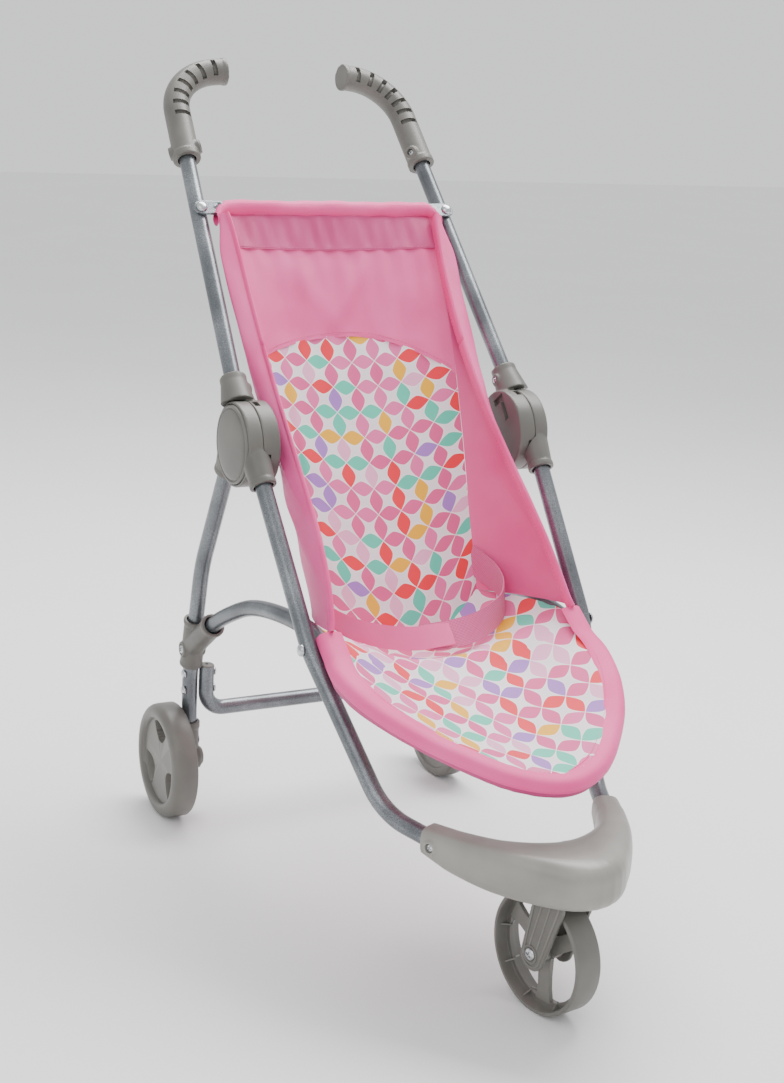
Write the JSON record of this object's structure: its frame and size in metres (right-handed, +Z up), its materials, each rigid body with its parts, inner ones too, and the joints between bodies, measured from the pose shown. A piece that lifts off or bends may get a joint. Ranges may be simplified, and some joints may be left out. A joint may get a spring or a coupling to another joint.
{
  "type": "doll stroller",
  "caption": "Three-wheeled doll jogging stroller: bent tube frame, sling fabric seat with lap belt, swivelling front wheel, handle that folds forwards at two push-button hubs.",
  "frame": {"origin": "on the floor, under the middle of the stroller's bounding box", "axes": "+Z up, -Y the way the stroller rolls, +X to the left of the child who pushes it"},
  "size_m": [0.31, 0.6222, 0.6743],
  "materials": {
    "painted_tube": "silver-grey metallic paint",
    "grey_plastic": "satin moulded",
    "zinc_steel": "bright zinc",
    "pink_nylon": "satin woven nylon",
    "print_cloth": "printed woven cloth",
    "pink_webbing": "woven webbing"
  },
  "bodies": {
    "frame": {"front_leg_left": "painted_tube", "front_leg_right": "painted_tube", "rear_leg_left": "painted_tube", "rear_leg_right": "painted_tube", "seat_tube": "painted_tube", "lower_crossbar": "painted_tube", "y_bracket_left": "grey_plastic", "y_bracket_right": "grey_plastic", "axle_bracket_left": "grey_plastic", "axle_bracket_right": "grey_plastic", "axle_cap_left": "grey_plastic", "axle_cap_right": "grey_plastic", "hub_frame_shell_left": "grey_plastic", "hub_frame_shell_right": "grey_plastic", "hub_pin_left": "zinc_steel", "hub_pin_right": "zinc_steel", "nose_housing": "grey_plastic", "swivel_pin": "zinc_steel", "rear_axle_left": "zinc_steel", "rear_axle_right": "zinc_steel", "leg_rivet_left": "zinc_steel", "leg_rivet_right": "zinc_steel", "crossbar_rivet_left_upper": "zinc_steel", "crossbar_rivet_left_lower": "zinc_steel", "crossbar_rivet_right_upper": "zinc_steel", "crossbar_rivet_right_lower": "zinc_steel", "y_bracket_screw_left": "zinc_steel", "y_bracket_screw_right": "zinc_steel", "nose_screw_left": "zinc_steel", "nose_screw_right": "zinc_steel", "wing_left": "pink_nylon", "wing_right": "pink_nylon", "back_panel": "print_cloth", "seat_panel": "print_cloth", "belt_strap_left": "pink_webbing", "belt_strap_right": "pink_webbing"},
    "handle": {"upper_tube_left": "painted_tube", "upper_tube_right": "painted_tube", "grip_left": "grey_plastic", "grip_right": "grey_plastic", "top_crossbar": "painted_tube", "crossbar_screw_left": "zinc_steel", "crossbar_screw_right": "zinc_steel", "hub_handle_shell_left": "grey_plastic", "hub_handle_shell_right": "grey_plastic", "hub_spring_left": "zinc_steel", "hub_spring_right": "zinc_steel", "top_hem": "pink_nylon"},
    "button_left": {"hub_button_left": "grey_plastic", "lock_gear_left": "grey_plastic"},
    "button_right": {"hub_button_right": "grey_plastic", "lock_gear_right": "grey_plastic"},
    "caster": {"front_fork": "grey_plastic", "front_axle": "zinc_steel"},
    "front_wheel": {"front_wheel": "grey_plastic"},
    "rear_wheel_left": {"rear_wheel_left": "grey_plastic"},
    "rear_wheel_right": {"rear_wheel_right": "grey_plastic"}
  },
  "joints": [
    {"name": "handle_fold", "type": "hinge", "parent": "frame", "child": "handle", "pos_m": [0, 0.0579, 0.374], "axis": [1, 0, 0], "range_deg": [0, 96]},
    {"name": "button_left_press", "type": "slide", "parent": "frame", "child": "button_left", "axis": [-1, 0, 0], "range_m": [0, 0.003], "stiffness_N_per_m": 900},
    {"name": "button_right_press", "type": "slide", "parent": "frame", "child": "button_right", "axis": [1, 0, 0], "range_m": [0, 0.003], "stiffness_N_per_m": 900},
    {"name": "caster_swivel", "type": "hinge", "parent": "frame", "child": "caster", "pos_m": [0, -0.2636, 0.1], "axis": [0, 0, 1], "continuous": true},
    {"name": "front_wheel_spin", "type": "hinge", "parent": "caster", "child": "front_wheel", "pos_m": [-0.00235, -0.24879, 0.0482], "axis": [0.9877, 0.1564, 0], "continuous": true},
    {"name": "rear_wheel_left_spin", "type": "hinge", "parent": "frame", "child": "rear_wheel_left", "pos_m": [0.1435, 0.1819, 0.0524], "axis": [1, 0, 0], "continuous": true},
    {"name": "rear_wheel_right_spin", "type": "hinge", "parent": "frame", "child": "rear_wheel_right", "pos_m": [-0.1435, 0.1819, 0.0524], "axis": [1, 0, 0], "continuous": true}
  ]
}
